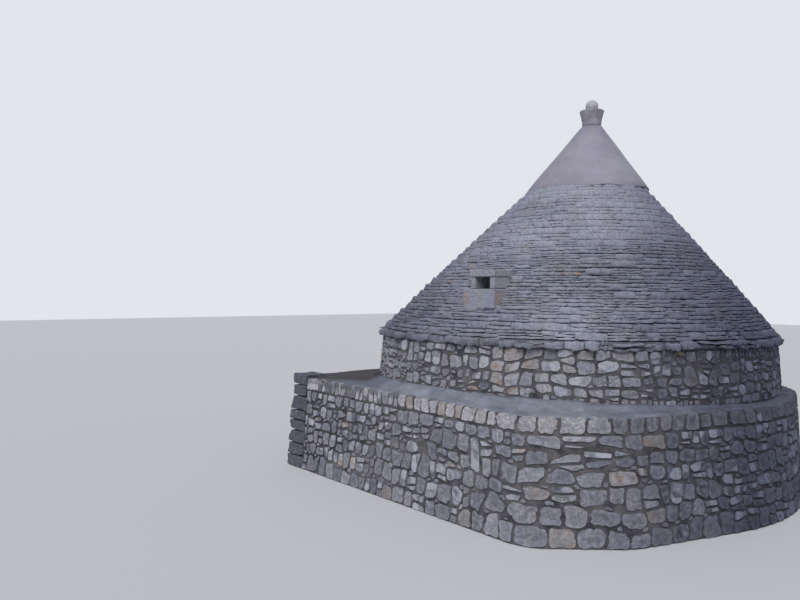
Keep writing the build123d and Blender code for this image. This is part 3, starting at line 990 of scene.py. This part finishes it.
roof_core = joined_copy(ROOF_NODES + BAY_NODES)
for vert in roof_core.verts:
    centre = cone_centre(vert.co.z)
    arm = vert.co.xy - centre
    if arm.length > SHELL_REACH - SHELL_SLOPE * (vert.co.z - eave_height):
        inset = EAVE_INSET if vert.co.z < eave_height + course_height + 0.001 else CORE_INSET
        vert.co.xy = centre + arm * (1 - inset / arm.length)
        if vert.co.z > eave_height + 0.01:
            vert.co.z -= CORE_DROP
roof_joints = joint_finish("roof_gaps", GAP_DARK, GAP_PALE)
roof_fill = set_up(roof_core, "roof_fill", roof_joints)
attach(roof_fill, "root")
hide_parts(*ROOF_NODES, *BAY_NODES)


def add_slab(roof, place, width, depth, thick, lean, reach, loose, sag, marks, draw):
    """One flat slab laid at a place on the roof, thin at its ends, its broken front leaning back."""
    slab = bmesh.new()
    bow = draw.uniform(0.0, SLAB_BOW)
    layer = slab.verts.layers.float_color.new("stone")
    bmesh.ops.create_grid(slab, x_segments=SLAB_SEGMENTS, y_segments=1, size=0.5)
    for vert in slab.verts:
        aside = abs(vert.co.x) * 2
        vert.co.x *= width
        vert.co.y *= depth
        if vert.co.y > 0:
            vert.co.y += draw.uniform(*FRONT_BREAK) * loose - vert.co.x ** 2 / (2 * reach)
            vert.co.y -= CORNER_DROP * aside ** 4
            vert.co.x += 0.0 if aside > 0.9 else draw.uniform(-0.15, 0.15) * width / SLAB_SEGMENTS
            vert.co.z += loose * (draw.uniform(0.0, 0.005) + bow * aside ** 2) - draw.uniform(0.0, sag)
    top = bmesh.ops.extrude_face_region(slab, geom=slab.faces[:], use_keep_orig=True)["geom"]
    for vert in verts_of(top):
        aside = min(1.0, abs(vert.co.x) * 2 / width)
        if vert.co.y > 0:
            vert.co.z = thick - loose * (draw.uniform(-0.003, 0.007) + bow * aside ** 2)
            vert.co.y -= lean * draw.uniform(0.7, 1.25)
        else:
            vert.co.z = thick
    bmesh.ops.recalc_face_normals(slab, faces=slab.faces)
    front_edges = [edge for edge in slab.edges if all(vert.co.y > 0 for vert in edge.verts)]
    round_off(slab, front_edges, thick * draw.uniform(0.06, 0.15), 1)
    tone, worn, rusty, lichen = marks
    for vert in slab.verts:
        front = 1.0 if vert.co.y > 0 else 0.0
        edge_share = min(1.0, max(0.0, vert.co.z / thick)) * front
        vert[layer] = (tone, worn * edge_share, rusty, lichen * (1 - edge_share * 0.6))
    slab.transform(place)
    put_in(roof, slab)


window_low, window_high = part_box("window_block")
lintel_low, lintel_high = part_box("window_lintel")
jamb_left, jamb_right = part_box("window_jamb_left"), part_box("window_jamb_right")
frame_low = Vector((jamb_left[0].x, jamb_left[0].y, window_high.z))
frame_high = Vector((jamb_right[1].x, jamb_right[1].y, lintel_low.z))
WINDOW_PARTS = ((window_low, window_high), (frame_low, frame_high), (lintel_low, lintel_high))
WINDOW_GRIP = 0.02


def beside_window(middle, width, reach, height):
    """Bearing and width of a slab cut back to the side of the window's stones."""
    spot = cone_centre(height) + outward(middle).xy * reach
    for low, high in WINDOW_PARTS:
        left, right = spot.x - width / 2, spot.x + width / 2
        in_reach = right > low.x + WINDOW_GRIP and left < high.x - WINDOW_GRIP
        if spot.y < 0 and low.z < height < high.z and in_reach:
            left_free, right_free = low.x + WINDOW_GRIP - left, right - high.x + WINDOW_GRIP
            free = max(left_free, right_free)
            place = left + free / 2 if left_free > right_free else right - free / 2
            return middle + (place - spot.x) / reach, free
    return middle, width


def slab_marks(spot, height, draw):
    """Tone, wear, rust and lichen of a slab: pale near the cap, over a dark belt and patches, and darker
    with painted shade where the roof turns from the light.
    """
    rise = rise_at(height)
    bearing = math.atan2(spot.y, spot.x)
    patch = drift(spot.x * 0.8, spot.y * 0.8, height * 1.9)
    # How far the slab is turned from the light: such slabs are painted darker as painted shade.
    aside = (1 - math.cos(bearing + ROOF_LIGHT_TURN)) / 2
    washed = min(1.0, max(0.0, (rise - WASH_RISE + 0.1 * patch) / 0.1))
    belt = max(0.0, 1 - abs(rise - BELT_RISE) / BELT_HALF) * max(0.0, math.cos(bearing + BELT_WAY))
    tone = 0.58 + 0.18 * rise + 0.36 * washed - 1.7 * min(0.3, aside) + 0.5 * patch - 0.34 * belt
    tone += draw.gauss(0.0, 0.17 - 0.1 * washed)
    lichen = max(0.0, 0.6 - 0.7 * rise - 1.2 * patch + 0.4 * belt)
    rusty = draw.uniform(0.3, 0.9) if draw.random() < 0.02 * (1 - rise) else 0.0
    worn = draw.uniform(0.3, 0.9)
    return min(1.0, max(0.0, tone)), worn, rusty, min(1.0, lichen * draw.uniform(0.5, 1.2))


def lay_slabs(roof, course, start, swing, draw):
    """The slabs of one place in a roof course: one thick one, or two or three thin ones."""
    reach = course_reach(course)
    foot = eave_height + course * course_height
    rise = rise_at(foot)
    counts, odds = ((1, 2, 3), LAYER_ODDS) if rise < UPPER_RISE else ((1, 2), UPPER_ODDS)
    layers = draw.choices(counts, odds)[0]
    layers = layers if course else draw.choice((1, 1, 2))
    lean = SLAB_LEAN if course else EAVE_LEAN
    loose = (1.25 - 0.9 * rise) if course else EAVE_LOOSE
    depth = SLAB_DEPTH if course else EAVE_DEPTH
    lap = SLAB_LAP if course else -EAVE_GAP
    for number in range(layers):
        middle = start + swing * (0.5 + (draw.uniform(-0.2, 0.2) if number else 0.0))
        thick = course_height / layers - draw.uniform(0.0, 0.003 if course else 0.012) * loose
        level = foot + course_height / layers * number
        level += draw.uniform(0.0, 0.016) if course + number == 0 else 0.0
        level += COURSE_WANDER * loose * max(0.0, drift(middle * 2.6, foot * 1.4, 4.0))
        middle, width = beside_window(middle, swing * reach + lap, reach, level + thick / 2)
        if width < MIN_SLAB:
            continue
        out = outward(middle).xy
        set_back = draw.uniform(0.0, 0.01 if course else 0.034) * loose + number * (lean / layers + 0.007)
        front = cone_centre(foot) + out * (reach - set_back)
        yaw = Matrix.Rotation(middle - math.pi / 2 + draw.uniform(-0.03, 0.03), 4, "Z")
        tilt = Matrix.Rotation(draw.uniform(-0.036, 0.036) * loose, 4, "Y")
        droop = Matrix.Rotation(draw.uniform(-EAVE_DROOP, 0.0) if course == 0 else 0.0, 4, "X")
        place = Matrix.Translation((*(front - out * depth / 2), level)) @ yaw @ tilt @ droop
        marks = slab_marks(front, level, draw)
        sag = 0.0 if course + number else EAVE_SAG
        add_slab(roof, place, width, depth, thick, lean / layers, reach, loose, sag, marks, draw)


def reopen(finish):
    """A finish's node tree, its shader and the colour that it has so far."""
    shader = finish.node_tree.nodes["Principled BSDF"]
    return finish.node_tree, shader, shader.inputs["Base Color"].links[0].from_socket


slab_finish = stone_finish("roof_slab_limestone", SLAB_DARK, SLAB_PALE, SLAB_RIM, 0.6)
tree, shader, body = reopen(slab_finish)
# The roof's left side is darkened with painted shade of the trees.
shady_side = band(tree, SHADY_WAY, 0.4, 2.5, 1.0)
tree.links.new(cover(tree, shady_side, body, PAINTED_TREE_SHADE, "MULTIPLY"), shader.inputs["Base Color"])
roof_draw = random.Random(ROOF_SEED)
for part, courses in (("lower", range(UPPER_COURSE)), ("upper", range(UPPER_COURSE, COURSE_COUNT))):
    roof_slabs = bmesh.new()
    for course in courses:
        turn = roof_draw.uniform(0, math.tau)
        end = turn + math.tau
        while turn < end - 0.0001:
            width = roof_draw.triangular(*(SLAB_WIDTH if course else EAVE_WIDTH))
            swing = min(width / course_reach(course), end - turn)
            if end - turn - swing < 0.1 / course_reach(course):
                swing = end - turn
            lay_slabs(roof_slabs, course, turn, swing, roof_draw)
            turn += swing
    slabs = set_up(roof_slabs, "roof_slabs_" + part, slab_finish)
    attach(slabs, "root")
    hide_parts(*ROOF_NODES, *BAY_NODES)


# Small window in the cone: one block below, two jambs and a lintel slab of pale limestone,
# with rust at the ends of the block and lime that has run down it.
WINDOW_DARK = (122, 123, 136)
WINDOW_PALE = (150, 151, 164)
LIME_RUN = (146, 151, 176)


def beside(tree, way, middle, half):
    """A share that is full at a distance along a way and fades to nothing half a width from it."""
    rising = band(tree, way, middle - half, middle - half / 2, 0.15)
    falling = band(tree, way, middle + half, middle + half / 2, 0.15)
    return times(tree, rising, falling)


window_finish = stone_finish("window_limestone", WINDOW_DARK, WINDOW_PALE, RUBBLE_RIM, 0.2)
tree, shader, body = reopen(window_finish)
below_sill = band(tree, (0.0, 0.0, 1.0), window_high.z - 0.01, window_high.z - 0.04, 0.15)
for way, middle, half, colour, strength in (
    ((1.0, 0.0, 0.0), window_low.x + 0.05, 0.085, RUST, 0.45),
    ((0.7, 0.7, 0.0), 0.7 * (window_high.x + window_low.y) + 0.075, 0.07, RUST, 0.6),
    ((1.0, 0.0, 0.0), window_low.x + 0.15, 0.06, LIME_RUN, 0.75),
    ((1.0, 0.0, 0.0), window_high.x - 0.07, 0.07, LIME_RUN, 0.9),
):
    patch = times(tree, beside(tree, way, middle, half), below_sill)
    patch = times(tree, patch, speckle(tree, 0.07, 6, 0.34, 0.52))
    body = cover(tree, times(tree, patch, strength), body, colour)
tree.links.new(body, shader.inputs["Base Color"])
for name in ("window_block", "window_jamb_left", "window_jamb_right", "window_lintel"):
    stone = set_up(dressed_copy(name, 0.01, 0.008, 0.1), name + "_stone", window_finish)
    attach(stone, "root")
    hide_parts(name)


# Vault: rings of rough slabs corbelled inwards under the cone, whitewashed, and the one flat slab
# that closes it.
VAULT_NODES = ["vault_" + sector for sector in ROOF_SECTORS] + ["vault_closing_slab"]
for name in VAULT_NODES:
    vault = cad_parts[name]
    vault.data.materials.clear()
    vault.data.materials.append(limewash)


# Cap: a smooth cone of lime plaster over the last courses, with faint stains, which leans on with
# the roof.
PLASTER_DARK = (128, 125, 141)
PLASTER_PALE = (152, 150, 165)
PLASTER_STAIN = (150, 134, 132)
CAP_STEPS = 96
CAP_RINGS = 14
CAP_LIP = 0.012
CAP_HEAD_RADIUS = 0.158
CAP_WEAR = 0.006
CAP_SMEAR = 0.026

cap_finish, tree, shader = new_finish("cap_plaster", 0.8)
body = cover(tree, speckle(tree, 0.5, 7, 0.35, 0.7), PLASTER_PALE, PLASTER_DARK)
body = cover(tree, times(tree, speckle(tree, 0.09, 8, 0.45, 0.8), 0.4), body, PLASTER_PALE)
body = cover(tree, times(tree, speckle(tree, 0.3, 6, 0.52, 0.75, (1, 1, 0.3)), 0.35), body, PLASTER_STAIN)
complete(tree, shader, body, (0.18, 6, 0.012), (0.015, 6, 0.002))

cap_head = (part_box("pinnacle_drum")[0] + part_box("pinnacle_drum")[1]) / 2
cap_tall = cap_foot_high.z - cap_foot.z
cap_radius = (cap_foot_high.x - cap_foot_low.x) / 2


def turned(profile, steps):
    """A closed shape turned about an upright axis from its half outline."""
    shape = bmesh.new()
    points = [shape.verts.new((radius, 0.0, height)) for radius, height in profile]
    edges = [shape.edges.new(pair) for pair in zip(points, points[1:])]
    bmesh.ops.spin(
        shape,
        geom=points + edges,
        cent=(0, 0, 0),
        axis=(0, 0, 1),
        angle=math.tau,
        steps=steps,
        use_merge=True,
    )
    bmesh.ops.remove_doubles(shape, verts=shape.verts, dist=0.0002)
    return shape


cap_profile = [(0.0, 0.0), (cap_radius - 0.05, 0.0), (cap_radius - 0.006, 0.0)]
for step in range(CAP_RINGS + 1):
    share = step / CAP_RINGS
    level = CAP_LIP + (cap_tall - CAP_LIP) * share
    cap_profile.append((cap_radius - 0.002 + (CAP_HEAD_RADIUS - cap_radius) * share, level))
cap_shape = turned(cap_profile + [(0.0, cap_tall)], CAP_STEPS)
for vert in cap_shape.verts:
    share = vert.co.z / cap_tall
    lean = cap_foot.xy.lerp(cap_head.xy, share)
    arm = vert.co.xy
    if arm.length > 0.1:
        hollow = CAP_WEAR * (noise.noise(Vector((*arm, vert.co.z)) * 2.5) - 0.6)
        arm = arm * (1 + hollow / arm.length)
    smear = CAP_SMEAR * (noise.noise(Vector((*arm, 2.0)) * 3.0) - 0.6) if share < 0.02 else 0.0
    vert.co = (*(lean + arm), cap_foot.z + vert.co.z + smear)
bmesh.ops.recalc_face_normals(cap_shape, faces=cap_shape.faces)
for face in cap_shape.faces:
    face.smooth = abs(face.normal.z) < 0.9
cap = set_up(cap_shape, "cap_plaster_cone", cap_finish)
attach(cap, "root")
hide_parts("cap_cone")


# Pinnacle: a drum of soft limestone turned hollow at its sides, and a ball of the same stone
# bedded on it.
CARVED_DARK = (132, 130, 142)
CARVED_PALE = (166, 164, 176)
CARVED_PITS = (104, 103, 114)
BALL_DARK = (162, 160, 174)
BALL_PALE = (190, 188, 201)
TURNED_STEPS = 64
SIDE_RINGS = 12
BALL_RINGS = 24
DRUM_SOLE = 0.14
DRUM_WAIST = 0.146
WAIST_HEIGHT = 0.03
PINNACLE_WEAR = 0.012

pinnacle_finish, tree, shader = new_finish("pinnacle_limestone", 0.88)
body = cover(tree, speckle(tree, 0.12, 8, 0.35, 0.7), CARVED_DARK, CARVED_PALE)
body = cover(tree, times(tree, speckle(tree, 0.02, 8, 0.5, 0.72), 0.6), body, CARVED_PITS)
complete(tree, shader, body, (0.05, 7, 0.008), (0.008, 7, 0.002))

drum_low, drum_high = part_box("pinnacle_drum")
ball_low, ball_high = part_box("pinnacle_ball")
drum_rim = (drum_high.x - drum_low.x) / 2
tall = drum_high.z - drum_low.z
pinnacle_axis = (drum_low + drum_high) / 2


def turned_stone(profile, foot):
    """A stone of the pinnacle, turned from its half outline and a little worn."""
    shape = turned(profile, TURNED_STEPS)
    for vert in shape.verts:
        if vert.co.xy.length > 0.02:
            vert.co.xy *= 1 + PINNACLE_WEAR * (noise.noise(vert.co * 14.0) - 0.7)
        vert.co += Vector((pinnacle_axis.x, pinnacle_axis.y, foot))
    bmesh.ops.recalc_face_normals(shape, faces=shape.faces)
    for face in shape.faces:
        face.smooth = True
    return shape


drum_profile = [(0, 0), (DRUM_SOLE, 0)]
for step in range(SIDE_RINGS + 1):
    share = step / SIDE_RINGS
    radius = DRUM_WAIST + (drum_rim + 0.002 - DRUM_WAIST) * share ** 1.5
    drum_profile.append((radius, WAIST_HEIGHT + (tall - WAIST_HEIGHT - 0.012) * share))
drum_profile += [(drum_rim - 0.001, tall - 0.006), (drum_rim - 0.008, tall), (0, tall)]
pinnacle_drum = set_up(turned_stone(drum_profile, drum_low.z), "pinnacle_drum_stone", pinnacle_finish)
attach(pinnacle_drum, "root")
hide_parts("pinnacle_drum")

ball_radius = (ball_high.x - ball_low.x) / 2
ball_centre = ball_high.z - ball_radius - ball_low.z
seat_angle = math.acos(ball_centre / ball_radius)
ball_profile = [(0, 0)]
for step in range(BALL_RINGS + 1):
    angle = seat_angle + (math.pi - seat_angle) * step / BALL_RINGS
    ball_profile.append((ball_radius * math.sin(angle), ball_centre - ball_radius * math.cos(angle)))
ball_finish, tree, shader = new_finish("ball_limestone", 0.85)
body = cover(tree, speckle(tree, 0.1, 8, 0.35, 0.7), BALL_DARK, BALL_PALE)
complete(tree, shader, body, (0.03, 7, 0.003))
ball = set_up(turned_stone(ball_profile, ball_low.z), "pinnacle_ball_stone", ball_finish)
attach(ball, "root")
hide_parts("pinnacle_ball")


# Studio: a pale floor and backdrop colour, one broad soft lamp from the side of the view and an
# even sky.
FLOOR_SIZE = 60.0
FLOOR_GREY = (205, 206, 210)
BACKDROP = (226, 229, 236)
SKY_TINT = (0.86, 0.91, 1.0, 1.0)
SKY_POWER = 0.34
LAMP_TINT = (1.0, 0.985, 0.97)
LAMP_POWER = 2.2
LAMP_SPREAD = 40
LAMP_TILT = 44
LAMP_TURN = 30

floor_shape = bmesh.new()
bmesh.ops.create_grid(floor_shape, x_segments=1, y_segments=1, size=FLOOR_SIZE)
floor_finish, tree, shader = new_finish("studio_floor", 0.9)
shader.inputs["Base Color"].default_value = paint(FLOOR_GREY)
floor = set_up(floor_shape, "studio_floor", floor_finish)

lamp = bpy.data.lights.new("soft_lamp", "SUN")
lamp.energy = LAMP_POWER
lamp.angle = math.radians(LAMP_SPREAD)
lamp.color = LAMP_TINT
lamp_stand = bpy.data.objects.new("soft_lamp", lamp)
lamp_stand.rotation_euler = (math.radians(LAMP_TILT), 0.0, math.radians(LAMP_TURN))
bpy.context.scene.collection.objects.link(lamp_stand)

sky = bpy.data.worlds.new("sky")
bpy.context.scene.world = sky
sky.use_nodes = True
tree = sky.node_tree
glow = tree.nodes["Background"]
glow.inputs["Color"].default_value = SKY_TINT
glow.inputs["Strength"].default_value = SKY_POWER
seen = tree.nodes.new("ShaderNodeBackground")
seen.inputs["Color"].default_value = paint(BACKDROP)
ray = tree.nodes.new("ShaderNodeLightPath")
any_seen = ray.outputs["Is Camera Ray"]
for kind in ("Is Glossy Ray", "Is Transmission Ray"):
    any_seen = worked(tree, "MAXIMUM", any_seen, ray.outputs[kind])
pick = tree.nodes.new("ShaderNodeMixShader")
tree.links.new(any_seen, pick.inputs["Fac"])
tree.links.new(glow.outputs["Background"], pick.inputs[1])
tree.links.new(seen.outputs["Background"], pick.inputs[2])
tree.links.new(pick.outputs["Shader"], tree.nodes["World Output"].inputs["Surface"])

# Remove the scratch mesh used to join the shapes.
bpy.data.meshes.remove(SCRATCH)
